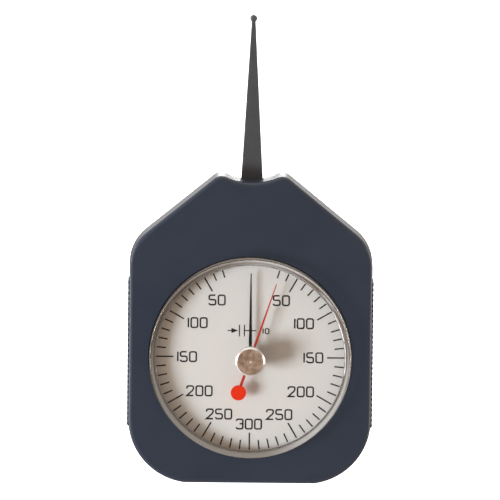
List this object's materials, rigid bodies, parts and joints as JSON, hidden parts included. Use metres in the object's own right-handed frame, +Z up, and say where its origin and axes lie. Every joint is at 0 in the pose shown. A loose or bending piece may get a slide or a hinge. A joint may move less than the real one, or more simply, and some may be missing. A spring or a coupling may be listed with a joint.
{
  "type": "dial force gauge",
  "caption": "Hand-held dial force gauge: flat case with sloping shoulders, domed clear lens over a round scale, and a long tapered feeler arm with a ball tip on top.",
  "frame": {"origin": "on the surface that the foot of the case stands on, under the middle of the bounding box", "axes": "+Z up along the feeler arm at rest; -Y out of the dial towards the reader; +X to the reader's right"},
  "size_m": [0.0628, 0.023, 0.1203],
  "materials": {
    "case_black": "satin moulding",
    "screw_steel": "zinc plated",
    "lens_clear": "clear polished acrylic",
    "seal_black": "matt",
    "bush_brass": "turned",
    "dial_white": "satin paint",
    "plate_brass": "rolled",
    "pillar_brass": "turned",
    "pin_steel": "ground",
    "spring_steel": "tempered blue-grey",
    "hairspring_bronze": "rolled",
    "arm_gunmetal": "blackened",
    "sector_brass": "blanked and lapped",
    "pointer_black": "matt paint",
    "knob_metal": "turned",
    "washer_bronze": "rolled",
    "peak_red": "gloss paint"
  },
  "bodies": {
    "case": {"front_case": "case_black", "rear_cover": "case_black", "cover_screws": "screw_steel", "dial_plate": "dial_white", "lens": "lens_clear", "lens_seal": "seal_black", "knob_bush": "bush_brass", "front_plate": "plate_brass", "rear_plate": "plate_brass", "plate_pillars": "pillar_brass", "pillar_screws": "screw_steel", "movement_screws": "screw_steel", "arm_bushes": "bush_brass", "spindle_bushes": "bush_brass", "arm_stops": "pin_steel", "main_spring": "spring_steel", "main_spring_stud": "pillar_brass", "hairspring": "hairspring_bronze", "hairspring_stud": "pillar_brass"},
    "arm": {"feeler_arm": "arm_gunmetal", "arm_shaft": "pin_steel", "arm_hub": "pillar_brass", "arm_rivets": "pin_steel", "sector_gear": "sector_brass", "main_spring_collet": "pillar_brass"},
    "pointer": {"pointer_spindle": "pin_steel", "drive_pinion": "pin_steel", "pointer": "pointer_black", "pointer_hub": "pin_steel", "hairspring_collet": "pillar_brass"},
    "peak": {"reset_knob": "knob_metal", "knob_shaft": "pin_steel", "friction_washer": "washer_bronze", "peak_hand": "peak_red", "peak_hub": "pin_steel", "peak_counterweight": "peak_red"}
  },
  "joints": [
    {"name": "arm_swing", "type": "hinge", "parent": "case", "child": "arm", "pos_m": [0, 0, 0.068], "axis": [0, 1, 0], "range_deg": [-15, 15], "stiffness_Nm_per_rad": 0.577},
    {"name": "pointer_turn", "type": "hinge", "parent": "case", "child": "pointer", "pos_m": [0, 0, 0.0329], "axis": [0, 1, 0], "range_deg": [-180, 180]},
    {"name": "peak_turn", "type": "hinge", "parent": "case", "child": "peak", "pos_m": [0, 0, 0.0329], "axis": [0, 1, 0], "continuous": true}
  ],
  "couplings": [
    {"joint": "pointer_turn", "follows": "arm_swing", "ratio": -12}
  ]
}
